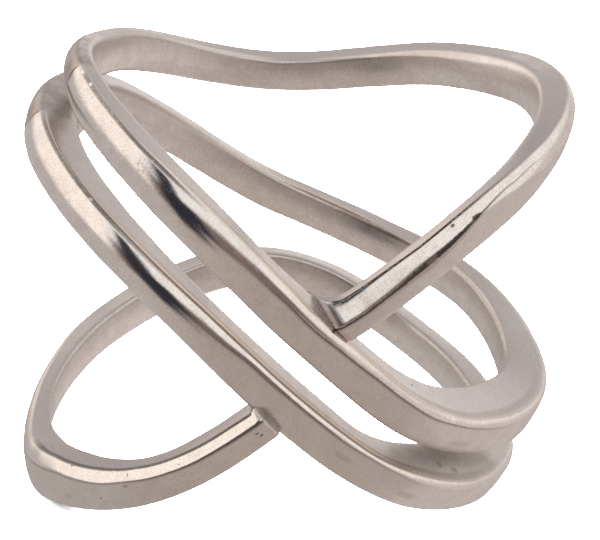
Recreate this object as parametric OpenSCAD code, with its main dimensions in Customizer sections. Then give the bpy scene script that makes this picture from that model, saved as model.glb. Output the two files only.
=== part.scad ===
// Cut-out ring: one silver wire wound three times round the finger. Its two ends meet the
// crossing bands at the front, and the turns spread apart into open loops at the back and sides.
// The ring rests on its two lowest loops, so the finger hole leans a little to the right.
// Angles are turned from the front (-Y) towards the right (+X); heights run along the finger.

/* [Finger hole] */
// Radius of the finger hole
finger_r = 8.85; // [8.6:0.05:9.2]
// Spread of the loops along the finger, against the heights in the table
spread = 1.0; // [0.96:0.01:1.04]

/* [Wire] */
// Width of the wire between its flat sides
wire_w = 1.7; // [1.5:0.05:1.75]
// Depth from the crown of the outer face to the wire's middle, about which it banks
wire_mid = 0.8; // [0.7:0.05:0.9]
// Extra height of the crown over the whole wire
crown_add = 0.0; // [-0.1:0.05:0.2]

/* [Hidden] */

silver = [0.75, 0.73, 0.71];

// The wire's path, one row for each loop, dip, bend and crossing:
// turn in degrees, height, bank in degrees (flat top side tipped outwards), inner side and
// crown beyond the finger hole's wall, and width as a share of the full width.
// Where the inner side is below zero the hole trims it.
TURN = 0;
HEIGHT = 1;
BANK = 2;
BACK = 3;
CROWN = 4;
WIDTH = 5;
sections = [
    [   0,  1.2,   0,  0.3, 1.5, 0.85],  // first end, on the upper band
    [  40,  6.2, -10,  0.5, 1.7, 0.95],  // climbs to the right
    [  90,  8.1,  -5,  0.2, 1.8, 1.05],  // upper right loop
    [ 135,  6.8, -10, -0.2, 1.6, 0.90],
    [ 180,  4.8,  -5, -0.2, 1.3, 0.85],  // dip at the back
    [ 240,  6.9, -10, -0.2, 1.1, 1.00],
    [ 285,  7.9, -10, -0.2, 1.2, 1.00],  // upper left loop
    [ 330,  5.6, -10, -0.2, 1.8, 1.05],
    [ 360,  1.7,   0, -0.2, 1.7, 1.00],  // upper band crosses the front
    [ 390, -2.3,  20, -0.2, 1.8, 1.00],
    [ 420, -3.9,  20,  0.0, 2.1, 1.05],
    [ 450, -4.0,   5,  0.5, 2.2, 1.00],  // right corner, above the lowest loop
    [ 480, -2.8, -10,  0.5, 1.6, 0.95],
    [ 510, -2.2, -10,  0.3, 1.4, 0.90],
    [ 540, -0.9,   0,  0.3, 1.5, 0.90],  // middle of the back
    [ 600,  4.7, -15,  0.5, 2.5, 1.00],
    [ 630,  5.1, -20,  0.3, 2.4, 1.00],  // left, below the upper loop
    [ 690,  1.8, -10, -0.2, 1.9, 0.95],
    [ 720, -2.0,   0, -0.2, 1.7, 1.00],  // lower band crosses the front
    [ 735, -3.9,   0, -0.2, 1.7, 0.95],
    [ 755, -5.5,  30, -0.2, 1.8, 1.05],  // the band tips up its flat side
    [ 785, -6.7,  20, -0.2, 1.4, 1.05],
    [ 810, -7.0,  10, -0.2, 1.1, 1.00],  // lower right loop, where the ring rests
    [ 850, -6.4,  15,  0.2, 1.4, 0.90],
    [ 900, -4.5,  10,  0.3, 1.7, 0.90],  // low at the back
    [ 945, -6.6,   5,  0.3, 1.4, 0.95],
    [ 990, -8.6,   0,  0.2, 1.3, 1.00],  // lower left loop, where the ring rests
    [1020, -8.0,   5, -0.2, 1.9, 1.10],
    [1050, -5.9,   5,  0.0, 2.1, 0.85],
    [1080, -0.9,   5,  0.4, 1.9, 0.75]   // second end, under the lower band
];
last_row = len(sections) - 1;

// The outer face, from a flat side to the crown: share of the width from the middle, depth
ACROSS = 0;
DEPTH = 1;
outer_face = [
    [0.50, 0.40],
    [0.47, 0.21],
    [0.40, 0.10],
    [0.22, 0.02],
    [0.00, 0.00]
];
face_rows = len(outer_face);

first_end = 5;       // turn at which the first end butts on the upper band
second_end = 1075;   // turn at which the second end butts under the lower band
first_split = 180;   // the two arms join the middle turns at the back
second_split = 900;
turn_step = 5;

// the ring rests on its lower left and lower right loops, and leans by their difference
left_loop = 990;
right_loop = 810;
foot_r = finger_r + 0.5;
lean = atan((height_at(right_loop) - height_at(left_loop)) / (2 * foot_r));

sector = 30;         // every other sector of the finger hole's wall is a hair wider
sector_grow = 0.004;
hole_half = 14;

// a column's value at any turn, on a smooth curve through the rows
function stretch(i) = sections[i + 1][TURN] - sections[i][TURN];
function rise(i, col) = (sections[i + 1][col] - sections[i][col]) / stretch(i);
function slope(i, col) =
    i == 0 ? rise(0, col) :
    i == last_row ? rise(last_row - 1, col) :
    (stretch(i) * rise(i - 1, col) + stretch(i - 1) * rise(i, col)) / (stretch(i - 1) + stretch(i));
function row_before(turn) = max([for (i = [0:last_row - 1]) if (i == 0 || sections[i][TURN] <= turn) i]);
function at(turn, col) =
    let (i = row_before(turn), w = stretch(i), t = (turn - sections[i][TURN]) / w, u = 1 - t)
    sections[i][col] * (1 + 2 * t) * u * u + sections[i + 1][col] * (1 + 2 * u) * t * t
    + w * t * u * (slope(i, col) * u - slope(i + 1, col) * t);

function height_at(turn) = spread * at(turn, HEIGHT);
function width_at(turn) = wire_w * at(turn, WIDTH);
function crown_at(turn) = at(turn, CROWN) + crown_add;
function middle_r(turn) = finger_r + crown_at(turn) - wire_mid;

// height gained for each radian turned
function climb(turn) = (height_at(turn + 1) - height_at(turn - 1)) / 2 * 180 / PI;

// outer face and flat sides of one section, banked: [outwards from the finger wall, across]
function banked(turn, depth, across) =
    let (b = at(turn, BANK), d = wire_mid - depth, m = crown_at(turn) - wire_mid)
    [m + d * cos(b) + across * sin(b), across * cos(b) - d * sin(b)];
function upper_half(turn) =
    let (w = width_at(turn))
    [for (q = outer_face) banked(turn, q[DEPTH], q[ACROSS] * w)];
function lower_half(turn) =
    let (w = width_at(turn))
    [for (i = [face_rows - 2:-1:0]) banked(turn, outer_face[i][DEPTH], -outer_face[i][ACROSS] * w)];
function inner_corner(turn, p) =
    let (k = at(turn, BACK))
    [k, p[1] + (p[0] - k) * tan(at(turn, BANK))];
function outline(turn) =
    let (up = upper_half(turn), dn = lower_half(turn))
    concat([inner_corner(turn, dn[len(dn) - 1]), inner_corner(turn, up[0])], up, dn);

// one section laid square across the path on the finger's cylinder
function placed(turn) =
    let (g = climb(turn), r = middle_r(turn), n = sqrt(g * g + r * r))
    [for (q = outline(turn))
        let (a = turn - q[1] * g / n / r * 180 / PI, p = finger_r + q[0])
        [p * sin(a), -p * cos(a), height_at(turn) + q[1] * r / n]];
outline_n = 2 * face_rows + 1;

// where the leaning ring's points come to, to stand it on the floor and centre it
function leaned(p) = [p[0] * cos(lean) + p[2] * sin(lean), p[1], p[2] * cos(lean) - p[0] * sin(lean)];
all_points = [for (a = [first_end:turn_step:second_end]) each [for (p = placed(a)) leaned(p)]];
function low_side(axis) = min([for (p = all_points) p[axis]]);
function high_side(axis) = max([for (p = all_points) p[axis]]);
shift = [-(low_side(0) + high_side(0)) / 2, -(low_side(1) + high_side(1)) / 2, -low_side(2)];

// turns of the sections from one end of a length of wire to the other
function stations(a, b) =
    let (n = ceil((b - a) / turn_step))
    [for (i = [0:n]) a + (b - a) * i / n];

// side faces between two neighbouring sections, and the end caps
function side_faces(rows) =
    [for (i = [0:rows - 2]) for (j = [0:outline_n - 1])
        let (k = (j + 1) % outline_n, a = i * outline_n, b = a + outline_n)
        each [[a + j, b + j, b + k], [a + j, b + k, a + k]]];
function cap_faces(start, flip) =
    [for (j = [1:outline_n - 2])
        flip ? [start, start + j + 1, start + j] : [start, start + j, start + j + 1]];

module wire(a, b) {
    turns = stations(a, b);
    rows = len(turns);
    pts = [for (t = turns) each placed(t)];
    faces = concat(side_faces(rows), cap_faces(0, false), cap_faces((rows - 1) * outline_n, true));
    polyhedron(points = pts, faces = faces, convexity = 8);
}

// the space for the finger: one round hole, and every other sector of it a hair wider
module finger_space() {
    cylinder(r = finger_r, h = 2 * hole_half, center = true, $fn = 96);
    for (start = [0:2 * sector:359]) {
        rotate([0, 0, start])
            rotate_extrude(angle = sector, $fn = 96)
                translate([0, -hole_half])
                    square([finger_r + sector_grow, 2 * hole_half]);
    }
}

module band() {
    color(silver)
        translate(shift)
            rotate([0, lean, 0])
                difference() {
                    union() {
                        wire(first_end, first_split);
                        wire(first_split, second_split);
                        wire(second_split, second_end);
                    }
                    finger_space();
                }
}

band();
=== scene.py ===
import math

import bpy
import numpy as np
from mathutils import Matrix, Vector


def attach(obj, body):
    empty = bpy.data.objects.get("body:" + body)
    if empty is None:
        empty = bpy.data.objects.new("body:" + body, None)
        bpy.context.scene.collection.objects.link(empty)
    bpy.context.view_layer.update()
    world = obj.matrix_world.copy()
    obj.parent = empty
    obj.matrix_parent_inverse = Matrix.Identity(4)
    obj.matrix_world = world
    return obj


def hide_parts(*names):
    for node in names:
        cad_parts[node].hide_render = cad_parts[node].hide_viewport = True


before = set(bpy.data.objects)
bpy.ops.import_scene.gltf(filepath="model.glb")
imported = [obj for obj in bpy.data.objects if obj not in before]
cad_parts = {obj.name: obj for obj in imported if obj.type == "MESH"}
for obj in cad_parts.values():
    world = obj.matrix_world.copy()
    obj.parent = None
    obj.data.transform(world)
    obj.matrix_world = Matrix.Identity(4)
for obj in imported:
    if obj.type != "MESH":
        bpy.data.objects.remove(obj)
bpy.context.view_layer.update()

# Cut-out ring: one silver wire wound three times round the finger, with its two ends soldered to
# the bands that cross at the front. It is swept along the CAD model's path with a finer section.
# Lengths are in millimetres and angles in degrees, up to where the mesh is made in metres.
MM = 0.001

# The wire, the same as in the CAD model
FINGER_R = 8.85       # radius of the finger hole
WIRE_W = 1.7          # full width between the flat sides
WIRE_MID = 0.8        # from the crown of the outer face to the point the wire banks about
LEFT_LOOP = 990       # turns of the two loops that the ring rests on
RIGHT_LOOP = 810
FOOT_R = FINGER_R + 0.5

# The wire's path, one row for each loop, dip, bend and crossing: turn, height, bank, inner side
# and crown beyond the hole's wall, and width as a share of the full width
SECTIONS = np.array([
    [0, 1.2, 0, 0.3, 1.5, 0.85],         # first end, on the upper band
    [40, 6.2, -10, 0.5, 1.7, 0.95],      # climbs to the right
    [90, 8.1, -5, 0.2, 1.8, 1.05],       # upper right loop
    [135, 6.8, -10, -0.2, 1.6, 0.90],
    [180, 4.8, -5, -0.2, 1.3, 0.85],     # dip at the back
    [240, 6.9, -10, -0.2, 1.1, 1.00],
    [285, 7.9, -10, -0.2, 1.2, 1.00],    # upper left loop
    [330, 5.6, -10, -0.2, 1.8, 1.05],
    [360, 1.7, 0, -0.2, 1.7, 1.00],      # upper band crosses the front
    [390, -2.3, 20, -0.2, 1.8, 1.00],
    [420, -3.9, 20, 0.0, 2.1, 1.05],
    [450, -4.0, 5, 0.5, 2.2, 1.00],      # right corner, above the lowest loop
    [480, -2.8, -10, 0.5, 1.6, 0.95],
    [510, -2.2, -10, 0.3, 1.4, 0.90],
    [540, -0.9, 0, 0.3, 1.5, 0.90],      # middle of the back
    [600, 4.7, -15, 0.5, 2.5, 1.00],
    [630, 5.1, -20, 0.3, 2.4, 1.00],     # left, below the upper loop
    [690, 1.8, -10, -0.2, 1.9, 0.95],
    [720, -2.0, 0, -0.2, 1.7, 1.00],     # lower band crosses the front
    [735, -3.9, 0, -0.2, 1.7, 0.95],
    [755, -5.5, 30, -0.2, 1.8, 1.05],    # the band tips up its flat side
    [785, -6.7, 20, -0.2, 1.4, 1.05],
    [810, -7.0, 10, -0.2, 1.1, 1.00],    # lower right loop, where the ring rests
    [850, -6.4, 15, 0.2, 1.4, 0.90],
    [900, -4.5, 10, 0.3, 1.7, 0.90],     # low at the back
    [945, -6.6, 5, 0.3, 1.4, 0.95],
    [990, -8.6, 0, 0.2, 1.3, 1.00],      # lower left loop, where the ring rests
    [1020, -8.0, 5, -0.2, 1.9, 1.10],
    [1050, -5.9, 5, 0.0, 2.1, 0.85],
    [1080, -0.9, 5, 0.4, 1.9, 0.75],     # last end, under the lower band
])
TURN, HEIGHT, BANK, BACK, CROWN, WIDTH = range(6)
FIRST_TURN, LAST_TURN = SECTIONS[0, TURN], SECTIONS[-1, TURN]

# The outer face has a ridge. One row for each stretch: turn, the ridge's place (1 is the top
# corner, -1 the lower one), fall above and below it in millimetres for each half width, how
# softly the ridge is rounded, how tight the face's two edges are, and the face's own roundness
FACES = np.array([
    [0, 0.05, 0.54, 0.10, 0.05, 12, 0.02],       # first arm
    [12, 0.08, 0.52, 0.10, 0.05, 12, 0.02],
    [26, 0.36, 0.46, 0.10, 0.07, 12, 0.02],
    [38, 0.40, 0.45, 0.10, 0.09, 10, 0.02],
    [48, 0.32, 0.45, 0.12, 0.12, 9, 0.03],
    [58, 0.30, 0.48, 0.14, 0.14, 8, 0.04],
    [72, 0.45, 0.48, 0.15, 0.16, 6, 0.05],       # upper right loop and the back
    [100, 0.50, 0.40, 0.20, 0.30, 6, 0.05],
    [265, 0.20, 0.40, 0.30, 0.60, 6, 0.03],      # upper left loop
    [285, 0.05, 0.42, 0.35, 0.80, 6, 0.03],
    [315, 0.10, 0.42, 0.38, 0.75, 8, 0.03],
    [335, 0.25, 0.42, 0.28, 0.55, 9, 0.04],
    [352, 0.60, 0.52, 0.12, 0.22, 10, 0.06],     # upper band
    [365, 0.68, 0.55, 0.10, 0.16, 10, 0.06],
    [400, 0.82, 0.62, 0.08, 0.10, 12, 0.05],
    [430, 0.88, 0.62, 0.08, 0.06, 14, 0.04],     # right corner
    [455, 0.88, 0.62, 0.08, 0.06, 14, 0.04],
    [600, 0.30, 0.40, 0.30, 0.60, 6, 0.03],      # left, below the upper loop
    [640, 0.05, 0.42, 0.35, 0.80, 6, 0.03],
    [668, 0.10, 0.42, 0.38, 0.75, 8, 0.03],
    [688, 0.25, 0.42, 0.28, 0.55, 9, 0.04],
    [705, 0.72, 0.52, 0.12, 0.20, 10, 0.06],     # lower band
    [720, 0.80, 0.58, 0.10, 0.10, 12, 0.06],
    [750, 0.86, 0.60, 0.08, 0.08, 14, 0.05],
    [800, 0.88, 0.50, 0.08, 0.10, 12, 0.05],     # lower right loop
    [970, 0.50, 0.35, 0.14, 0.50, 4, 0.03],      # lower left loop
    [1000, 0.45, 0.38, 0.16, 0.30, 5, 0.03],
    [1012, 0.50, 0.56, 0.10, 0.10, 9, 0.03],     # last arm
    [1035, 0.48, 0.62, 0.08, 0.08, 12, 0.03],
    [1050, 0.50, 0.62, 0.08, 0.07, 12, 0.03],
    [1066, 0.50, 0.66, 0.12, 0.05, 12, 0.02],
    [1080, 0.50, 0.70, 0.12, 0.05, 12, 0.02],
])
RIDGE, ABOVE, BELOW, SOFT, TIGHT, ROUND = range(1, 7)

# The rounding of the inner top corner, wide where it catches a soft light: turn, radius
CORNERS = np.array([
    [0, 0.26],
    [88, 0.28],
    [106, 0.50],
    [122, 0.58],
    [138, 0.34],
    [155, 0.22],
    [178, 0.22],
    [195, 0.50],
    [230, 0.50],
    [250, 0.30],
    [560, 0.30],
    [583, 0.60],
    [600, 0.35],
    [1080, 0.26],
])

# How deep the outer face is rounded towards the flat sides: turn, depth
EDGE_DEPTH = np.array([
    [45, 0.05],
    [62, 0.22],
    [1004, 0.22],
    [1018, 0.08],
    [1045, 0.05],
])

# Where the wire is twisted a little from the table's bank: turn, degrees
TWIST = np.array([
    [28, 0],
    [42, -7],
    [50, 0],
    [60, 12],
    [72, 8],
    [90, 0],
    [345, 0],
    [360, 9],
    [374, 0],
    [700, 0],
    [726, 9],
    [738, 9],
    [752, 0],
    [1005, 0],
    [1022, -6],
    [1045, -5],
    [1058, 0],
])

# Where the wire lies a little higher than the table's path: turn, millimetres
LIFT = np.array([
    [1008, 0.0],
    [1022, 0.13],
    [1048, 0.13],
    [1064, 0.0],
])

# Painted dark reflection under the ridge: turn, how far below the ridge it starts and its width,
# both in half widths of the wire, and how dark it is
RIDGE_REFLECTION = np.array([
    [0, 0.02, 0.12, 0.9],
    [16, 0.02, 0.16, 0.9],
    [26, -0.02, 0.34, 1.0],
    [34, -0.06, 0.20, 1.0],
    [39, -0.12, 0.10, 0.8],
    [46, -0.32, 0.06, 0.6],
    [54, -0.45, 0.05, 0.4],
    [60, -0.45, 0.05, 0.0],
    [280, 0.15, 0.28, 0.0],
    [282, 0.15, 0.28, 0.8],
    [292, 0.18, 0.24, 0.6],
    [300, 0.20, 0.20, 0.2],
    [304, 0.20, 0.20, 0.0],
    [340, 0.0, 0.08, 0.0],
    [350, 0.0, 0.11, 0.6],
    [365, 0.0, 0.11, 0.7],
    [388, 0.0, 0.10, 0.6],
    [405, 0.0, 0.08, 0.3],
    [415, 0.0, 0.08, 0.0],
    [694, 0.0, 0.07, 0.0],
    [702, 0.0, 0.10, 0.6],
    [725, 0.0, 0.10, 0.6],
    [742, 0.0, 0.08, 0.3],
    [752, 0.0, 0.08, 0.0],
    [1000, 0.0, 0.10, 0.0],
    [1016, 0.0, 0.10, 0.35],
    [1045, 0.0, 0.08, 0.5],
    [1062, 0.0, 0.11, 0.7],
    [1080, 0.0, 0.13, 0.9],
])
REFLECTION_START, REFLECTION_WIDTH, REFLECTION_DARK = range(1, 4)
NO_REFLECTION = -2          # the map's value away from the outer face, in widths before the start

# Painted light and shade along the outer face's top edge: turn, how dark the painted dark
# reflection on the very edge is, the one just below it, the painted shade on the top side above it,
# and how strong a painted warm highlight on the edge is
EDGES = np.array([
    [0, 1.0, 0.0, 0.0, 0.0],
    [34, 1.0, 0.0, 0.0, 0.0],
    [48, 0.3, 0.0, 0.0, 0.0],
    [56, 0.0, 0.0, 0.0, 0.0],
    [282, 0.0, 0.0, 0.0, 0.0],
    [288, 0.0, 0.7, 0.0, 0.1],
    [322, 0.0, 0.7, 0.0, 0.3],
    [332, 0.0, 0.0, 0.2, 0.5],
    [375, 0.0, 0.0, 0.3, 0.6],
    [388, 0.0, 0.0, 0.35, 0.2],
    [425, 0.0, 0.0, 0.3, 0.1],
    [445, 0.0, 0.0, 0.0, 0.0],
    [630, 0.0, 0.0, 0.0, 0.0],
    [637, 0.0, 0.7, 0.0, 0.1],
    [668, 0.0, 0.7, 0.0, 0.4],
    [680, 0.0, 0.0, 0.2, 0.6],
    [735, 0.0, 0.0, 0.5, 0.6],
    [760, 0.0, 0.0, 0.4, 0.1],
    [790, 0.0, 0.0, 0.0, 0.0],
    [1004, 0.0, 0.0, 0.0, 0.0],
    [1012, 0.7, 0.0, 0.0, 0.0],
    [1080, 1.0, 0.0, 0.0, 0.0],
])
ON_EDGE, BELOW_EDGE, ABOVE_EDGE, HIGHLIGHT_ON_EDGE = range(1, 5)

# How polished the strip above the ridge is, or all of the face where it is domed: turn, share
SHINE = np.array([
    [0, 1.0],
    [56, 1.0],
    [75, 0.5],
    [100, 0.2],
    [262, 0.1],
    [280, 0.1],
    [283, 1.0],
    [410, 1.0],
    [450, 0.3],
    [612, 0.1],
    [629, 0.1],
    [632, 1.0],
    [740, 1.0],
    [770, 0.3],
    [1002, 0.0],
    [1014, 1.0],
    [1080, 1.0],
])
SHARP_RIDGE = 0.2     # up to this rounding of the ridge, only the strip above it is polished,
DOMED_RIDGE = 0.7     # and from this one on, all of the face
STRIP_BLEND = 0.1     # half widths over which the strip's polish ends at the ridge

# Single marks on the wire, a row for each: turn, place round the wire (0 to 1 down the outer face,
# 2 to 3 up the inner side, 3.2 to 4 on the top side), half its length and half its height in
# millimetres, and its strength
PITS_AND_SHADOWS = [
    (33.0, 0.08, 0.09, 0.05, 0.8),
    (37.5, 0.25, 0.22, 0.09, 0.9),
    (1029.0, 0.03, 0.07, 0.04, 0.7),
    (1038.0, 0.66, 0.05, 0.05, 0.5),
    (1046.0, 0.12, 0.04, 0.08, 0.5),
    (1057.5, 0.16, 0.06, 0.03, 0.5),
    (1071.3, 0.50, 0.06, 0.06, 0.7),
    (1071.6, 0.63, 0.06, 0.06, 0.7),
    (384.5, 3.50, 0.07, 0.06, 0.8),
    # painted shadow lines across the wire where the polish starts on the two left loops
    (281.6, 0.26, 0.08, 0.40, 0.8),
    (630.4, 0.22, 0.07, 0.30, 0.6),
]
NICKS = [
    (21.0, 0.31, 0.10, 0.07, 0.9),
    (285.0, 0.05, 0.16, 0.06, 0.7),
    (291.0, 0.04, 0.12, 0.05, 0.9),
    (394.4, 0.05, 0.14, 0.07, 1.0),
    (715.8, 0.08, 0.12, 0.06, 0.9),
    (663.0, 0.05, 0.10, 0.05, 0.8),
]
STAINS_AND_SHADE = [
    # painted shade under the top rim of the inner side, in these three rows; the rows after them are
    # stains
    (526.0, 3.06, 2.6, 0.13, 1.0),
    (513.0, 2.95, 2.6, 0.13, 1.0),
    (501.0, 2.88, 2.2, 0.11, 0.8),
    (279.0, 0.35, 0.70, 0.70, 0.5),
    (628.0, 0.35, 0.70, 0.60, 0.5),
    (26.2, 0.38, 0.25, 0.14, 0.5),
    (756.0, 3.62, 0.20, 0.12, 0.5),
    (760.5, 3.74, 0.26, 0.11, 0.5),
    (730.5, 0.45, 0.40, 0.14, 0.3),
    (747.8, 0.56, 0.45, 0.18, 0.3),
    (1045.2, 0.38, 0.14, 0.06, 0.6),
    (1028.0, 0.74, 0.20, 0.10, 0.3),
    (401.0, 0.62, 0.50, 0.16, 0.3),
]
TURN_MM = 0.2         # length of one degree of turn along the wire
FACE_MM = 1.75        # height of the outer face
MARK_EDGE = 1.2, 0.7  # a mark starts and is full at these shares of its half length and height

# The finer section
FACE_POINTS = 53
SIDE_POINTS = 3
CORNER_POINTS = 5
INNER_POINTS = 7
FACE_PLACES = np.sin(np.linspace(math.pi / 2, -math.pi / 2, FACE_POINTS))   # top corner first
CORNER_R = 0.26       # rounding of the inner lower corner
CORNER_SHARE = 0.4    # most of the top side that the rounding of its inner corner may take
CORNER_PLACE = 0.2    # the inner corners' half width, as a place round the wire
INNER_BULGE = 0.05    # the inner side is slightly rounded

# The sections along the wire, and the averages that even out its path and its twists
STEP = 1.0            # degrees of turn from one section to the next
END_STEP = 0.3        # the same near the two ends,
END_REACH = 8.0       # over this many degrees
SMOOTH = 4.0          # degrees over which the path's bends are evened out
SMOOTH_PLACES = np.linspace(-2, 2, 9)       # in units of SMOOTH
TWIST_PLACES = np.linspace(-4, 4, 9)        # in degrees of turn

# The unevenness of hand work, each a sum of waves: seed, size, and period in degrees of turn
CROWN_WAVE = (1, 0.008, 30)
BANK_WAVE = (2, 0.5, 25)
WIDTH_WAVE = (3, 0.006, 22)
HEIGHT_WAVE = (4, 0.01, 35)
RIDGE_WAVE = (5, 0.03, 20)
WAVE_LENGTHS = 0.5 + 0.35 * np.arange(5)    # as shares of the period
WAVE_HEIGHTS = 0.6 + 0.1 * np.arange(5)     # as shares of half the size

# The soldered ends, first and last: how far they reach into the band, the radius of the web that
# widens them into the band's side, and the rounding of their outer edge
IN_FIRST, IN_LAST = 0.80, 0.12
WEB_FIRST, WEB_LAST = 1.15, 0.12
TIP_FIRST, TIP_LAST = 0.45, 0.05
ARM_SEARCH = 0.2, 14, 0.05      # turns from the wire's end, in steps, where it may meet its band
FIRST_BAND = 355, 372, 0.1      # turns of the two bands there
LAST_BAND = 708, 725, 0.1
JOINT_OUT = 0.8       # where a joint is measured, out from the hole's wall
NEAR_END = 90         # degrees of turn that belong to an arm
TIP_MARGIN = 0.1      # the rounding ends this far inside the band, and the polish fades as fast
TIP_SIDES = 0.5       # share of the rounding that the flat sides get
WEB_STEPS = 8         # steps in which the web's width settles
WEB_POWER = 3         # how fast the web fades from the top corner down the outer face
WEB_DROP = 0.6        # fall of the outer face for each millimetre of web
LEAST_DEPTH = 0.12    # least thickness of the wire outside the finger hole

# The camera, in the ring's own upright frame
CAM_AZ, CAM_EL, CAM_ROLL = -6.35, 24.07, 7.15
CAM_DIST = 162.58
CAM_RIGHT, CAM_UP = 0.45, -0.21
CAM_LENS, CAM_SENSOR = 238.0, 36.0
CAM_NEAR = 10.0

# The floor and the overhead light, in metres
FLOOR_HALF = 0.6
FLOOR_COLOUR = (0.86, 0.85, 0.84)
FLOOR_ROUGH = 0.9
FLOOR_GLOSS = 0.1
LIGHT_PLACE = (-0.05, 0.05, 0.45)
LIGHT_SIZE = 1.5
LIGHT_POWER = 95.0    # in watts

# Colours of the room that the silver reflects, and of the backdrop that the camera sees
TABLE = (0.52, 0.47, 0.445)
NEAR_TABLE = (0.50, 0.43, 0.39)
RIGHT_TABLE = (0.66, 0.59, 0.555)
WALLS = (0.92, 0.87, 0.83)
FAR_WALL = (0.52, 0.48, 0.465)
CEILING = (0.54, 0.505, 0.49)
CREAM = (1.08, 0.97, 0.88)
GLOOM = (0.205, 0.155, 0.14)
DARK = (0.030, 0.031, 0.040)
BACKDROP = (0.98, 0.975, 0.97)

# Where its parts lie, in degrees: each starts, is full, starts to fade and ends
NEAR_SIDE = (-80, -50, 36, 60)
RIGHT_SIDE = (44, 64, 145, 175)
LIT_WALLS = (-165, -140, 135, 158)
TABLE_TO_WALLS = (6, 20)
WALLS_TO_CEILING = (56, 74)

# Panels, in the order in which they are painted: colour, azimuths, elevations
PANELS = [
    (WALLS, (140, 155, 176, 180), (-16, -6, 4, 12)),
    (CREAM, (-170, -148, -74, -58), (-3, 10, 58, 74)),
    (GLOOM, (-68, -58, 32, 48), (-9, 3, 20, 32)),
    (DARK, (-59, -50, -38, -30), (-24, -9, 48, 64)),
    (DARK, (-57, -48, -26, -14), (-4, 4, 24, 31)),
]

# The silver's colours, those of what lies on it, and painted shade, shadow, highlights and dark
# reflections
FLAT_SIDES = (0.800, 0.765, 0.755)
OUTER_FACE = (0.790, 0.760, 0.738)
INNER_SIDE = (0.940, 0.905, 0.890)
POLISHED = (0.945, 0.915, 0.890)
WORN = (0.66, 0.60, 0.56)
BROWNED = (0.50, 0.46, 0.44)
# painted shade under the top rim of the inner side
RIM_SHADE = (0.42, 0.38, 0.36)
# painted shade on the two arms' top sides
ARM_TOP_SHADE = (0.60, 0.56, 0.57)
GRAIN_GREY = (0.40, 0.36, 0.34)
SPECK_GREY = (0.38, 0.34, 0.32)
SCRATCH_GREY = (0.42, 0.37, 0.35)
# painted dark reflection under the ridge, and its painted reddish fringe
RED_FRINGE = (0.42, 0.27, 0.22)
REFLECTION_BLACK = (0.035, 0.030, 0.032)
# painted dark reflections and shade along the top edge, and a painted warm highlight on it
EDGE_REFLECTION_BLACK = (0.06, 0.05, 0.05)
EDGE_REFLECTION_BROWN = (0.10, 0.085, 0.08)
EDGE_SHADE = (0.26, 0.22, 0.20)
EDGE_HIGHLIGHT = (0.72, 0.58, 0.46)
# stains, and painted shade under the top rim of the inner side
STAIN_AND_SHADE_BROWN = (0.42, 0.33, 0.28)
# pits, and painted shadow lines where the polish starts on the two left loops
PIT_AND_SHADOW_BLACK = (0.05, 0.042, 0.040)
NICK_WHITE = (1.0, 0.98, 0.96)

# Stretches of the wire by turn: each starts, is full, starts to fade and ends
LEFT_LOOPS = ((280, 292, 314, 322), (626, 638, 658, 668))
LEFT_ARCHES = ((232, 262, 280.5, 282.5), (590, 612, 629.5, 631.5))
TIPPED_BAND = (736, 750, 774, 786)
FIRST_ARM_ENDS = (60, 85)
LAST_ARM_STARTS = (1005, 1025)
SHADED_RIM_STARTS = (120, 140)

# Places round the wire, in the same way: 0 to 1 is the outer face, 1 to 2 the lower side, 2 to 3
# the inner side and 3 to 4 the top side
ON_FACE = (1.02, 0.98)
FACE_AND_BELOW = (1.3, 1.0)
ON_INNER_SIDE = (1.9, 2.1, 2.9, 3.1)
ON_TOP_SIDE = (3.1, 3.3)
TIPPED_TOP = (3.0, 3.3)
UNDER_RIM = (2.35, 2.85, 3.0, 3.14)
EDGE_ON_FACE = (0.035, 0.01)
EDGE_ON_TOP = (3.84, 3.92)
JUST_BELOW_EDGE = (0.012, 0.03, 0.06, 0.10)
JUST_ABOVE_EDGE = (3.76, 3.84, 3.92, 3.97)
FAINT_TO_DEEP = (4.0, 0.9)                  # scratches show least on top and most on the face
REFLECTION_LINE = (-0.10, 0.10, 0.82, 1.06)       # in widths of the painted dark reflection from its start
REFLECTION_FRINGE = (0.8, 1.1, 1.4, 1.9)

# Noise patterns: scale for each millimetre, detail, roughness
GRAIN = (13, 3, 0.65)
BROAD = (1.5, 4, 0.6)
RAGGED = (9, 3, 0.6)
SPECKS = (8, 5, 0.75)
SPECK_PATCHES = (1.1, 2, 0.5)
SCRATCHES = (1.0, 3, 0.6)
SCRATCH_ALONG, SCRATCH_ACROSS = 0.26, 34.0  # scale for each degree of turn and each place
RAGGED_SIZE, RAGGED_LOW = 1.6, -0.8         # the ragged pattern goes from about -0.8 to 0.8
RAGGED_REFLECTION = 0.35                          # how far it moves the painted dark reflection, in widths
RAGGED_STAINS_AND_SHADE = 0.7                         # and the stains and painted shade, against pits, painted shadow lines and nicks

# The values of its pattern at which each thing starts to show and is full
WORN_LEVELS = (0.40, 0.64)
DULL_LEVELS = (0.35, 0.65)
GRAIN_LEVELS = (0.42, 0.68)
SPECK_LEVELS = (0.53, 0.66)
PATCH_LEVELS = (0.36, 0.60)
SCRATCH_LEVELS = (0.60, 0.74)
MOTTLE_LEVELS = (-0.15, 0.25)
UNBROKEN_LEVELS = (0.50, 0.05)

# How much each covers the colour below it, or from least to most
WORN_SHARE = 0.24
MOTTLE_SHARES = (0.0, 0.12)
DULL_SHARES = (0.35, 0.8)
RIM_SHARE = 0.4
ARM_TOP_SHADE_SHARE = 0.55
GRAIN_SHARES = (0.0, 0.22)
SPECK_SHARE = 0.26
SCRATCH_SHARES = (0.04, 0.22)
FRINGE_SHARE = 0.45
LINE_SHARE = 0.92

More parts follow.
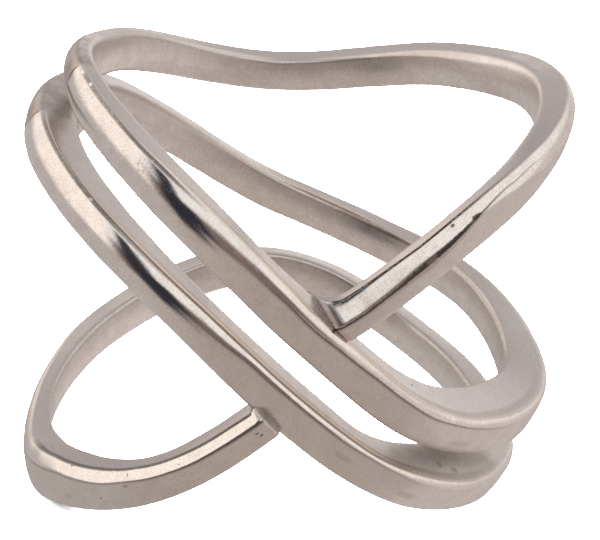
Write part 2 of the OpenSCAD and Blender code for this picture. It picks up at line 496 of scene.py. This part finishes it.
# Roughness of the satin and of the polished silver, and what is added to it
ROUGHNESS = (0.27, 0.10)
TIPPED_ROUGH = 0.28
WORN_ROUGH = 0.06
DARK_MARKS_ROUGH = 0.22
SCRATCH_ROUGH = 0.07
WORN_ON_POLISH = (0.4, 1.0)                 # wear tells less on the polish than on the satin

# The relief: its strength and depth, the grain's share on satin and polish, and what lies deeper
BUMP_STRENGTH = 0.35
BUMP_DEPTH = 0.012
GRAIN_RELIEF = (1.0, 0.35)
SCRATCH_RELIEF = -0.3
PIT_RELIEF = -0.8


def column(table, turn, col):
    """A column's value at each turn, on a smooth curve through the rows."""
    rows, value = table[:, TURN], table[:, col]
    gap = np.diff(rows)
    rise = np.diff(value) / gap
    inner = (gap[1:] * rise[:-1] + gap[:-1] * rise[1:]) / (gap[:-1] + gap[1:])
    slope = np.concatenate([[rise[0]], inner, [rise[-1]]])
    i = np.clip(np.searchsorted(rows, turn, side="right") - 1, 0, len(rows) - 2)
    t = (turn - rows[i]) / gap[i]
    u = 1 - t
    return (value[i] * (1 + 2 * t) * u * u + value[i + 1] * (1 + 2 * u) * t * t
            + gap[i] * t * u * (slope[i] * u - slope[i + 1] * t))


def between(table, turn, col=1):
    """A column's value at each turn, on straight lines through the rows."""
    return np.interp(turn, table[:, TURN], table[:, col])


def evened(turn, col):
    """A column of the path, with its bends evened out by a narrow bell-shaped average."""
    weights = np.exp(-SMOOTH_PLACES ** 2 / 2)
    # near the ends the average narrows, so that it stays on the table
    reach = np.minimum(SMOOTH, np.minimum(turn - FIRST_TURN, LAST_TURN - turn) / 2)
    total = np.zeros(len(turn))
    for place, weight in zip(SMOOTH_PLACES, weights):
        total += weight * column(SECTIONS, turn + place * reach, col)
    return total / weights.sum()


def wander(turn, seed, size, period):
    """A slow irregular wave along the wire, as hand bending and filing leave it."""
    rng = np.random.default_rng(seed)
    total = np.zeros(len(turn))
    for length, height in zip(WAVE_LENGTHS, WAVE_HEIGHTS):
        total += np.sin(2 * math.pi * (turn / (period * length) + rng.random())) * height
    return size * total / 2


def banked(turn):
    """The bank in degrees, with the small twists."""
    return evened(turn, BANK) + between(TWIST, turn[:, None] + TWIST_PLACES).mean(1)


def outer_face(turn):
    """The outer face's depths below the crown, and its places from the ridge in half widths."""
    ridge, above, below, soft, tight, dome = (
        between(FACES, turn, col)[:, None] for col in (RIDGE, ABOVE, BELOW, SOFT, TIGHT, ROUND))
    beside = FACE_PLACES - ridge - wander(turn, *RIDGE_WAVE)[:, None]
    bend = np.sqrt(beside * beside + soft * soft)
    depth = (above - below) / 2 * beside + (above + below) / 2 * bend
    depth = depth - soft * np.sqrt(above * below) + dome * FACE_PLACES * FACE_PLACES
    edge = between(EDGE_DEPTH, turn)[:, None]
    depth = depth + edge * (1 - np.sqrt(np.maximum(1 - np.abs(FACE_PLACES) ** tight, 0)))
    return depth - np.minimum(depth.min(1, keepdims=True), 0), beside


def line(p, q, start, stop, n):
    """n points on the line from p to q, from start past p to stop short of q."""
    way = q - p
    size = np.hypot(way[..., :1], way[..., 1:])
    gone = start + (size - start - stop) * np.linspace(0, 1, n)[:, None]
    return p + way / size * gone


def rounded(p, corner, q, r):
    """The points of a rounded corner, between the lines that come from p and go to q."""
    t = np.linspace(0, 1, CORNER_POINTS + 2)[1:-1, None]
    start, end = line(corner, p, r, 0, 1), line(corner, q, r, 0, 1)
    return (1 - t) ** 2 * start + 2 * t * (1 - t) * corner + t * t * end


def section(bank, back, crown, half, web, top_r, depth):
    """The outline at every station: (station, point, out from the hole's wall and across)."""
    cos_b, sin_b, tan_b = (f(bank)[:, None] for f in (np.cos, np.sin, np.tan))
    middle = (crown - WIRE_MID)[:, None]
    back = back[:, None]
    flare = web * np.clip(FACE_PLACES, 0, 1) ** WEB_POWER
    across = FACE_PLACES * half[:, None] + flare
    depth = depth + flare * WEB_DROP
    # however wide the end gets, it stays outside the finger hole
    d = np.maximum(WIRE_MID - depth, back + LEAST_DEPTH - middle)
    face = np.stack([middle + d * cos_b + across * sin_b, across * cos_b - d * sin_b], -1)

    def inner_corner(edge):
        """Where the flat side that starts at an edge of the face comes to the inner side."""
        return np.stack([back, edge[..., 1] + (edge[..., 0] - back) * tan_b], -1)

    edge_top, edge_low = face[:, :1], face[:, -1:]
    top, low = inner_corner(edge_top), inner_corner(edge_low)
    side = edge_top - top
    top_r = np.minimum(top_r, CORNER_SHARE * np.hypot(side[..., :1], side[..., 1:]))
    inner = line(low, top, CORNER_R, top_r, INNER_POINTS)
    inner[..., 0] -= INNER_BULGE * (1 - np.linspace(-1, 1, INNER_POINTS) ** 2)
    return np.concatenate([
        face,
        line(edge_low, low, 0, CORNER_R, SIDE_POINTS + 1)[:, 1:],
        rounded(edge_low, low, top, CORNER_R),
        inner,
        rounded(low, top, edge_top, top_r),
        line(top, edge_top, top_r, 0, SIDE_POINTS + 1)[:, :-1],
    ], 1)


def laid(turn, outline):
    """The outlines laid square across the path, on the finger's cylinder."""
    out, across = outline[..., 0], outline[..., 1]
    height = evened(turn, HEIGHT)
    climb = (evened(turn + 0.5, HEIGHT) - evened(turn - 0.5, HEIGHT)) / math.radians(1)
    radius = FINGER_R + evened(turn, CROWN) - WIRE_MID
    size = np.hypot(climb, radius)
    angle = np.radians(turn)[:, None] - across * (climb / size / radius)[:, None]
    r = FINGER_R + out
    z = height[:, None] + across * (radius / size)[:, None]
    return np.stack([r * np.sin(angle), -r * np.cos(angle), z], -1)


def middle_line(turn, across=0.0):
    """Points along the wire's middle, or beside it, where the joints are measured."""
    outline = np.zeros((len(turn), 1, 2))
    outline[:, 0, 0] = JOINT_OUT
    outline[:, 0, 1] = across
    return laid(turn, outline)[:, 0]


def joint(arm, band, side):
    """Where an arm's middle meets a band's flat side: the point, and the way that side faces."""
    half = side * evened(band, WIDTH) * WIRE_W / 2
    arm_mid, band_mid, band_side = middle_line(arm), middle_line(band), middle_line(band, half)
    apart = np.linalg.norm(arm_mid[:, None] - band_side, axis=-1)
    _, nearest = np.unravel_index(apart.argmin(), apart.shape)
    across = band_side[nearest] - band_mid[nearest]
    out = band_mid[nearest] * (1, 1, 0)
    bank = math.radians(banked(band)[nearest])
    facing = (across / np.linalg.norm(across) * math.cos(bank)
              + out / np.linalg.norm(out) * side * math.sin(bank))
    return band_side[nearest], facing


def from_joint(points, spot):
    """Distance of points from the band's flat side."""
    point, facing = spot
    return (points - point) @ facing


def quarter(radius, gone):
    """Height of a hollow quarter round of this radius, at a distance from its foot."""
    room = np.clip(radius - gone, 0, radius)
    return radius - np.sqrt(radius ** 2 - room ** 2)


def stations(arm, first, last):
    """The turns of all sections, from inside one joint to inside the other."""
    start = arm[np.abs(from_joint(middle_line(arm), first) + IN_FIRST).argmin()]
    last_arm = LAST_TURN - arm
    stop = last_arm[np.abs(from_joint(middle_line(last_arm), last) + IN_LAST).argmin()]
    return np.concatenate([
        np.arange(start, start + END_REACH, END_STEP),
        np.arange(start + END_REACH, stop - END_REACH, STEP),
        np.arange(stop - END_REACH, stop + END_STEP / 2, END_STEP),
    ])


def wire():
    """The wire, upright: its turns, its points, their places from the ridge, and each section's
    share of polish, which fades at the rounded ends."""
    arm = np.arange(*ARM_SEARCH)
    first = joint(arm, np.arange(*FIRST_BAND), 1)
    last = joint(LAST_TURN - arm, np.arange(*LAST_BAND), -1)
    turn = stations(arm, first, last)
    crown = evened(turn, CROWN) + wander(turn, *CROWN_WAVE)
    bank = np.radians(banked(turn) + wander(turn, *BANK_WAVE))
    back = np.maximum(evened(turn, BACK), 0)
    half = evened(turn, WIDTH) * WIRE_W / 2 + wander(turn, *WIDTH_WAVE)
    polish = np.ones(len(turn))
    ends = (
        (first, turn < NEAR_END, WEB_FIRST, TIP_FIRST),
        (last, turn > LAST_TURN - NEAR_END, WEB_LAST, TIP_LAST),
    )
    for spot, near, radius, tip in ends:
        # the inner side comes in to the finger hole beside the band, and the end's outer edge is
        # rounded, and dull there
        gone = from_joint(middle_line(turn), spot)
        back = np.where(near, back * np.clip(gone / radius, 0, 1), back)
        worn = np.where(near, quarter(tip, gone + TIP_MARGIN), 0)
        crown -= worn
        half -= worn * TIP_SIDES
        bright = np.clip((gone - tip + TIP_MARGIN) / TIP_MARGIN, 0, 1)
        polish = np.where(near, bright, polish)
    depth, beside = outer_face(turn)
    top_r = between(CORNERS, turn)[:, None, None]

    def swept(web):
        """The wire's points, where its top edge is widened by the web."""
        return laid(turn, section(bank, back, crown, half, web, top_r, depth))

    # the top edge widens into the band beside it, so its distance from the band is found in steps
    web = np.zeros(depth.shape)
    for _ in range(WEB_STEPS):
        face = swept(web)[:, :FACE_POINTS]
        for spot, near, radius, _ in ends:
            wanted = quarter(radius, from_joint(face, spot))
            web = np.where(near[:, None], (2 * web + wanted) / 3, web)
    points = swept(web)
    points[..., 2] += (wander(turn, *HEIGHT_WAVE) + between(LIFT, turn))[:, None]
    return turn, points, beside, polish


def lean_angle():
    """The angle at which the ring leans on its two lowest loops."""
    left, right = column(SECTIONS, np.array([LEFT_LOOP, RIGHT_LOOP]), HEIGHT)
    return math.atan((right - left) / (2 * FOOT_R))


def stood(points, lean):
    """The leaning ring, centred on the floor, and how far it was moved for that."""
    c, s = math.cos(lean), math.sin(lean)
    leaned = points @ np.array([[c, 0, -s], [0, 1, 0], [s, 0, c]])
    low, high = leaned.reshape(-1, 3).min(0), leaned.reshape(-1, 3).max(0)
    shift = np.array([-(low[0] + high[0]) / 2, -(low[1] + high[1]) / 2, -low[2]])
    return leaned + shift, shift


def places_round():
    """Each point's place round the section: 0 to 1 down the outer face, 1 to 2 along the lower
    side, 2 to 3 up the inner side and 3 to 4 back along the top side."""
    low_start, low_end = 2 - CORNER_PLACE, 2 + CORNER_PLACE
    top_start, top_end = 3 - CORNER_PLACE, 3 + CORNER_PLACE
    return np.concatenate([
        (1 - FACE_PLACES) / 2,
        np.linspace(1, low_start, SIDE_POINTS + 1)[1:],
        np.linspace(low_start, low_end, CORNER_POINTS + 2)[1:-1],
        np.linspace(low_end, top_start, INNER_POINTS),
        np.linspace(top_start, top_end, CORNER_POINTS + 2)[1:-1],
        np.linspace(top_end, 4, SIDE_POINTS + 1),
    ])


def tube_mesh(name, points):
    """A closed mesh of the points: the squares of their grid first, then the two ends."""
    rows, around = points.shape[:2]
    i, j = np.meshgrid(np.arange(rows - 1), np.arange(around), indexing="ij")
    k = (j + 1) % around
    here, there = i * around, (i + 1) * around
    squares = np.stack([here + j, there + j, there + k, here + k], -1).reshape(-1, 4)
    first_end = range(around)
    last_end = range(rows * around - 1, (rows - 1) * around - 1, -1)
    mesh = bpy.data.meshes.new(name)
    places = points.reshape(-1, 3) * MM
    mesh.from_pydata(places.tolist(), [], [*squares.tolist(), list(first_end), list(last_end)])
    return mesh


def add_map(mesh, shape, name, first, second):
    """A map of two values, each for a grid of stations and places round them, the first place
    again at its end."""
    values = np.zeros((len(mesh.loops), 2), np.float32)
    for col, given in enumerate((first, second)):
        grid = np.broadcast_to(given, shape)
        corners = [grid[:-1, :-1], grid[1:, :-1], grid[1:, 1:], grid[:-1, 1:]]
        on_squares = np.stack(corners, -1).reshape(-1)
        values[:len(on_squares), col] = on_squares
    mesh.uv_layers.new(name=name).uv.foreach_set("vector", values.reshape(-1))


def wire_mesh(name, turn, points, beside, polish):
    """The wire's mesh, with the maps that the silver reads."""
    mesh = tube_mesh(name, points)
    where = places_round()
    shape = len(turn), len(where)

    def padded(values, elsewhere):
        """Values on the outer face, and one value for all other places round the wire."""
        other_places = len(where) - FACE_POINTS
        return np.pad(values, ((0, 0), (0, other_places)), constant_values=elsewhere)

    above = np.clip(beside / STRIP_BLEND + 0.5, 0, 1)
    domed = np.interp(FACES[:, SOFT], (SHARP_RIDGE, DOMED_RIDGE), (0, 1))
    domed = np.interp(turn, FACES[:, TURN], domed)[:, None]
    shine = (between(SHINE, turn) * polish)[:, None] * np.maximum(above, domed)
    start, width, dark = (
        between(RIDGE_REFLECTION, turn, col)[:, None] for col in (REFLECTION_START, REFLECTION_WIDTH, REFLECTION_DARK))
    on_edge, below_edge, above_edge, edge_highlight = (
        (between(EDGES, turn, col) * polish)[:, None]
        for col in (ON_EDGE, BELOW_EDGE, ABOVE_EDGE, HIGHLIGHT_ON_EDGE))
    add_map(mesh, shape, "wire", turn[:, None], where)
    add_map(mesh, shape, "shine", padded(shine, 0), 0)
    add_map(mesh, shape, "painted_reflection", padded((-beside - start) / width, NO_REFLECTION), dark)
    add_map(mesh, shape, "edge", on_edge, below_edge)
    add_map(mesh, shape, "edge_above", above_edge, edge_highlight)
    mesh.shade_smooth()
    mesh.validate()
    return mesh


def set_camera(lean, shift):
    """The camera of the photo's view, leaning with the ring."""
    az, el, roll = (math.radians(v) for v in (CAM_AZ, CAM_EL, CAM_ROLL))
    back = Vector((math.sin(az) * math.cos(el), -math.cos(az) * math.cos(el), math.sin(el)))
    level = Vector((0, 0, 1)).cross(back).normalized()
    above = back.cross(level)
    right = level * math.cos(roll) + above * math.sin(roll)
    up = above * math.cos(roll) - level * math.sin(roll)
    eye = back * CAM_DIST + right * CAM_RIGHT + up * CAM_UP
    turn = Matrix.Rotation(lean, 3, "Y")
    axes = Matrix((turn @ right, turn @ up, turn @ back)).transposed()
    data = bpy.data.cameras.new("camera")
    data.lens = CAM_LENS
    data.sensor_width = CAM_SENSOR
    data.clip_start = CAM_NEAR * MM
    camera = bpy.data.objects.new("camera", data)
    bpy.context.scene.collection.objects.link(camera)
    camera.matrix_world = Matrix.Translation((turn @ eye + Vector(shift)) * MM) @ axes.to_4x4()
    bpy.context.scene.camera = camera


class Nodes:
    """Short names for the shader nodes that the silver and the studio use."""

    def __init__(self, tree):
        self.tree = tree
        tree.nodes.clear()

    def add(self, kind, **settings):
        """A new node with these settings."""
        node = self.tree.nodes.new(kind)
        for name, value in settings.items():
            setattr(node, name, value)
        return node

    def put(self, value, socket):
        """Links an output to the socket, or sets a number or a colour on it."""
        if isinstance(value, bpy.types.NodeSocket):
            self.tree.links.new(value, socket)
        elif isinstance(value, tuple):
            socket.default_value = (*value, 1)
        else:
            socket.default_value = value

    def math(self, operation, *values):
        node = self.add("ShaderNodeMath", operation=operation)
        for value, socket in zip(values, node.inputs):
            self.put(value, socket)
        return node.outputs[0]

    def times(self, value, *others):
        for other in others:
            value = self.math("MULTIPLY", value, other)
        return value

    def either(self, value, *others):
        """The largest of the values."""
        for other in others:
            value = self.math("MAXIMUM", value, other)
        return value

    def plus(self, base, value, share):
        """base, and a share of the value added."""
        return self.math("MULTIPLY_ADD", value, share, base)

    def ramp(self, value, start, end, low=0.0, high=1.0):
        """Goes smoothly from low to high as value goes from start to end."""
        node = self.add("ShaderNodeMapRange", interpolation_type="SMOOTHSTEP")
        for v, socket in zip((value, start, end, low, high), node.inputs):
            self.put(v, socket)
        return node.outputs[0]

    def window(self, value, start, rise, fall, end):
        """1 from rise to fall, and 0 before start and after end."""
        return self.times(self.ramp(value, start, rise), self.ramp(value, fall, end, 1.0, 0.0))

    def mix(self, share, a, b):
        """Colour a where share is 0, b where it is 1."""
        node = self.add("ShaderNodeMix", data_type="RGBA")
        factor, colour_a, colour_b = node.inputs[0], node.inputs[6], node.inputs[7]
        self.put(share, factor)
        self.put(a, colour_a)
        self.put(b, colour_b)
        return node.outputs[2]

    def coated(self, colour, coats):
        """The colour under coats of paint, each with its share."""
        for share, paint in coats:
            colour = self.mix(share, colour, paint)
        return colour

    def noise(self, vector, scale, detail, rough):
        node = self.add("ShaderNodeTexNoise")
        self.put(vector, node.inputs["Vector"])
        node.inputs["Scale"].default_value = scale
        node.inputs["Detail"].default_value = detail
        node.inputs["Roughness"].default_value = rough
        return node.outputs[0]

    def map(self, name):
        """The two values of one of the mesh's maps."""
        split = self.add("ShaderNodeSeparateXYZ")
        self.put(self.add("ShaderNodeUVMap", uv_map=name).outputs[0], split.inputs[0])
        return split.outputs[0], split.outputs[1]


class Silver(Nodes):
    """Satin flat sides and a polished outer face, with grain, scratches, pits, stains and worn
    spots, and painted dark reflections, shade, shadow lines and highlights.
    """

    def __init__(self, tree):
        super().__init__(tree)
        scaled = self.add("ShaderNodeVectorMath", operation="SCALE")
        self.put(self.add("ShaderNodeTexCoord").outputs["Object"], scaled.inputs[0])
        scaled.inputs["Scale"].default_value = 1 / MM
        self.where = scaled.outputs[0]
        self.turn, self.place = self.map("wire")
        self.shiny = self.map("shine")[0]
        self.face = self.ramp(self.place, *ON_FACE)
        self.top_side = self.ramp(self.place, *ON_TOP_SIDE)
        self.grain = self.noise(self.where, *GRAIN)
        self.broad = self.noise(self.where, *BROAD)
        self.worn = self.ramp(self.broad, *WORN_LEVELS)
        self.ragged = self.plus(RAGGED_LOW, self.noise(self.where, *RAGGED), RAGGED_SIZE)
        self.specks = self.specks_on_left()
        self.scratch = self.scratches()
        self.line, self.fringe = self.painted_reflection()
        self.pits_and_shadows = self.marks(self.ragged, PITS_AND_SHADOWS)

    def specks_on_left(self):
        """Fine dark specks on the left loops, in patches."""
        left = self.either(*(self.window(self.turn, *stretch) for stretch in LEFT_LOOPS))
        specks = self.ramp(self.noise(self.where, *SPECKS), *SPECK_LEVELS)
        patches = self.ramp(self.noise(self.where, *SPECK_PATCHES), *PATCH_LEVELS)
        return self.times(self.face, left, specks, patches)

    def scratches(self):
        """Fine scratches along the wire."""
        along = self.add("ShaderNodeCombineXYZ")
        self.put(self.times(self.turn, SCRATCH_ALONG), along.inputs[0])
        self.put(self.times(self.place, SCRATCH_ACROSS), along.inputs[1])
        return self.ramp(self.noise(along.outputs[0], *SCRATCHES), *SCRATCH_LEVELS)

    def painted_reflection(self):
        """The painted dark reflection under the ridge, and the painted reddish fringe below it."""
        depth, dark = self.map("painted_reflection")
        depth = self.math("ADD", depth, self.times(self.ragged, RAGGED_REFLECTION))
        dark_marks = self.window(depth, *REFLECTION_LINE)
        reddish = self.window(depth, *REFLECTION_FRINGE)
        return self.times(dark_marks, dark, self.face), self.times(reddish, dark, self.face)

    def marks(self, ragged, rows):
        """1 on the marks, with ragged outlines."""
        spots = []
        for turn, place, long, high, strength in rows:
            along = self.plus(-turn * TURN_MM / long, self.turn, TURN_MM / long)
            across = self.plus(-place * FACE_MM / high, self.place, FACE_MM / high)
            gone = self.math("SQRT", self.plus(self.times(across, across), along, along))
            spots.append(self.ramp(self.math("ADD", gone, ragged), *MARK_EDGE, 0.0, strength))
        return self.either(*spots)

    def metal(self):
        """The silver's colour on each side, with its worn, mottled and browned stretches, and
        painted shade: darker under the top rim, and a cool grey on the arms' top sides.
        """
        inner = self.window(self.place, *ON_INNER_SIDE)
        mottled = self.ramp(self.ragged, *MOTTLE_LEVELS, *MOTTLE_SHARES)
        # the left arches are duller and browner up to where the polish starts
        arches = self.either(*(self.window(self.turn, *stretch) for stretch in LEFT_ARCHES))
        arch_sides = self.either(self.ramp(self.place, *FACE_AND_BELOW), self.top_side)
        arch_dull = self.ramp(self.broad, *DULL_LEVELS, *DULL_SHARES)
        # painted shade: the inner side is darker close under the top rim, but not on the first arm
        under_rim = self.window(self.place, *UNDER_RIM)
        shaded = self.ramp(self.turn, *SHADED_RIM_STARTS)
        # painted shade: the two arms' top sides are coloured a darker cool grey
        first_arm = self.ramp(self.turn, *FIRST_ARM_ENDS, 1.0, 0.0)
        arms = self.either(first_arm, self.ramp(self.turn, *LAST_ARM_STARTS))
        return self.coated(self.mix(self.face, FLAT_SIDES, OUTER_FACE), [
            (inner, INNER_SIDE),
            (self.shiny, POLISHED),
            (self.times(self.worn, WORN_SHARE), WORN),
            (mottled, BROWNED),
            (self.times(arches, arch_sides, arch_dull), BROWNED),
            (self.times(under_rim, shaded, RIM_SHARE), RIM_SHADE),
            (self.times(arms, self.top_side, ARM_TOP_SHADE_SHARE), ARM_TOP_SHADE),
        ])

    def texture(self, colour):
        """The colour with grain, specks, and scratches that show most on the outer face."""
        deep = self.ramp(self.place, *FAINT_TO_DEEP, *SCRATCH_SHARES)
        return self.coated(colour, [
            (self.ramp(self.grain, *GRAIN_LEVELS, *GRAIN_SHARES), GRAIN_GREY),
            (self.times(self.specks, SPECK_SHARE), SPECK_GREY),
            (self.times(self.scratch, deep), SCRATCH_GREY),
        ])

    def lines(self, colour):
        """The colour with the painted dark reflection under the ridge, and the broken painted dark
        reflections, shade and highlight along the top edge.
        """
        on_edge, below_edge = self.map("edge")
        above_edge, edge_highlight = self.map("edge_above")
        unbroken = self.ramp(self.ragged, *UNBROKEN_LEVELS)
        edge = self.either(self.ramp(self.place, *EDGE_ON_FACE), self.ramp(self.place, *EDGE_ON_TOP))
        just_below = self.window(self.place, *JUST_BELOW_EDGE)
        just_above = self.window(self.place, *JUST_ABOVE_EDGE)
        return self.coated(colour, [
            (self.times(self.fringe, FRINGE_SHARE), RED_FRINGE),
            (self.times(self.line, LINE_SHARE), REFLECTION_BLACK),
            (self.times(edge, on_edge, unbroken), EDGE_REFLECTION_BLACK),
            (self.times(just_below, below_edge, unbroken), EDGE_REFLECTION_BROWN),
            (self.times(just_above, above_edge), EDGE_SHADE),
            (self.times(edge, edge_highlight), EDGE_HIGHLIGHT),
        ])

    def marked(self, colour):
        """The colour with its single marks: stains, pits and nicks, with painted shade among the
        stains and painted shadow lines among the pits.
        """
        return self.coated(colour, [
            (self.marks(self.times(self.ragged, RAGGED_STAINS_AND_SHADE), STAINS_AND_SHADE), STAIN_AND_SHADE_BROWN),
            (self.pits_and_shadows, PIT_AND_SHADOW_BLACK),
            (self.marks(self.ragged, NICKS), NICK_WHITE),
        ])

    def roughness(self):
        """Rougher on the satin, where the band tips up, and on wear, the painted dark reflection,
        pits, painted shadow lines, specks and scratches.
        """
        tipped = self.window(self.turn, *TIPPED_BAND)
        tipped_top = self.times(tipped, self.ramp(self.place, *TIPPED_TOP))
        dull = self.times(self.worn, self.ramp(self.shiny, 1.0, 0.0, *WORN_ON_POLISH))
        dark_marks = self.either(self.line, self.pits_and_shadows, self.specks)
        rough = self.ramp(self.shiny, 0.0, 1.0, *ROUGHNESS)
        rough = self.plus(rough, tipped_top, TIPPED_ROUGH)
        rough = self.plus(rough, dull, WORN_ROUGH)
        rough = self.plus(rough, dark_marks, DARK_MARKS_ROUGH)
        return self.plus(rough, self.times(self.scratch, self.face), SCRATCH_ROUGH)

    def relief(self):
        """The grain, scratches, specks, pits and painted shadow lines as a slight relief, deeper on
        the satin sides.
        """
        satin = self.ramp(self.shiny, 0.0, 1.0, *GRAIN_RELIEF)
        height = self.plus(self.times(self.scratch, SCRATCH_RELIEF), self.grain, satin)
        height = self.plus(height, self.either(self.specks, self.pits_and_shadows), PIT_RELIEF)
        bump = self.add("ShaderNodeBump")
        bump.inputs["Strength"].default_value = BUMP_STRENGTH
        bump.inputs["Distance"].default_value = BUMP_DEPTH * MM
        self.put(height, bump.inputs["Height"])
        return bump.outputs[0]


def silver():
    """The ring's material."""
    material = bpy.data.materials.new("silver")
    material.use_nodes = True
    n = Silver(material.node_tree)
    shader = n.add("ShaderNodeBsdfPrincipled")
    shader.inputs["Metallic"].default_value = 1.0
    n.put(n.marked(n.lines(n.texture(n.metal()))), shader.inputs["Base Color"])
    n.put(n.roughness(), shader.inputs["Roughness"])
    n.put(n.relief(), shader.inputs["Normal"])
    n.put(shader.outputs[0], n.add("ShaderNodeOutputMaterial").inputs[0])
    return material


def studio():
    """A plain room for the silver to reflect, with two dark panels, and a backdrop that only the
    camera sees."""
    world = bpy.data.worlds.new("studio")
    bpy.context.scene.world = world
    world.use_nodes = True
    n = Nodes(world.node_tree)
    xyz = n.add("ShaderNodeSeparateXYZ")
    n.put(n.add("ShaderNodeTexCoord").outputs["Generated"], xyz.inputs[0])
    x, y, z = xyz.outputs
    az = n.times(n.math("ARCTAN2", x, n.times(y, -1.0)), 180 / math.pi)
    el = n.times(n.math("ARCSINE", z), 180 / math.pi)
    table = n.mix(n.window(az, *NEAR_SIDE), TABLE, NEAR_TABLE)
    table = n.mix(n.window(az, *RIGHT_SIDE), table, RIGHT_TABLE)
    walls = n.mix(n.window(az, *LIT_WALLS), FAR_WALL, WALLS)
    colour = n.mix(n.ramp(el, *TABLE_TO_WALLS), table, walls)
    colour = n.mix(n.ramp(el, *WALLS_TO_CEILING), colour, CEILING)
    for paint, sides, heights in PANELS:
        colour = n.mix(n.times(n.window(az, *sides), n.window(el, *heights)), colour, paint)
    room = n.add("ShaderNodeBackground")
    n.put(colour, room.inputs[0])
    seen = n.add("ShaderNodeBackground")
    n.put(BACKDROP, seen.inputs[0])
    either = n.add("ShaderNodeMixShader")
    n.put(n.add("ShaderNodeLightPath").outputs["Is Camera Ray"], either.inputs[0])
    n.put(room.outputs[0], either.inputs[1])
    n.put(seen.outputs[0], either.inputs[2])
    n.put(either.outputs[0], n.add("ShaderNodeOutputWorld").inputs[0])


def floor():
    """A plain pale floor, which the silver doesn't reflect."""
    h = FLOOR_HALF
    mesh = bpy.data.meshes.new("floor")
    mesh.from_pydata([(-h, -h, 0), (h, -h, 0), (h, h, 0), (-h, h, 0)], [], [(0, 1, 2, 3)])
    plane = bpy.data.objects.new("floor", mesh)
    bpy.context.scene.collection.objects.link(plane)
    material = bpy.data.materials.new("floor")
    material.use_nodes = True
    shader = material.node_tree.nodes["Principled BSDF"]
    shader.inputs["Base Color"].default_value = (*FLOOR_COLOUR, 1)
    shader.inputs["Roughness"].default_value = FLOOR_ROUGH
    shader.inputs["Specular IOR Level"].default_value = FLOOR_GLOSS
    mesh.materials.append(material)
    plane.visible_glossy = False


def overhead_light():
    """A wide soft light, which the silver doesn't reflect."""
    data = bpy.data.lights.new("overhead", "AREA")
    data.shape = "DISK"
    data.size = LIGHT_SIZE
    data.energy = LIGHT_POWER
    light = bpy.data.objects.new("overhead", data)
    light.location = LIGHT_PLACE
    light.visible_glossy = False
    bpy.context.scene.collection.objects.link(light)


def ring_and_camera():
    """The wire stood on the floor, and the camera placed by how it leans."""
    turn, points, beside, polish = wire()
    lean = lean_angle()
    points, shift = stood(points, lean)
    set_camera(lean, shift)
    ring = bpy.data.objects.new("ring", wire_mesh("ring", turn, points, beside, polish))
    bpy.context.scene.collection.objects.link(ring)
    ring.data.materials.append(silver())
    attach(ring, "root")
    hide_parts("band")


bpy.context.scene.view_settings.view_transform = "Standard"
ring_and_camera()
studio()
floor()
overhead_light()
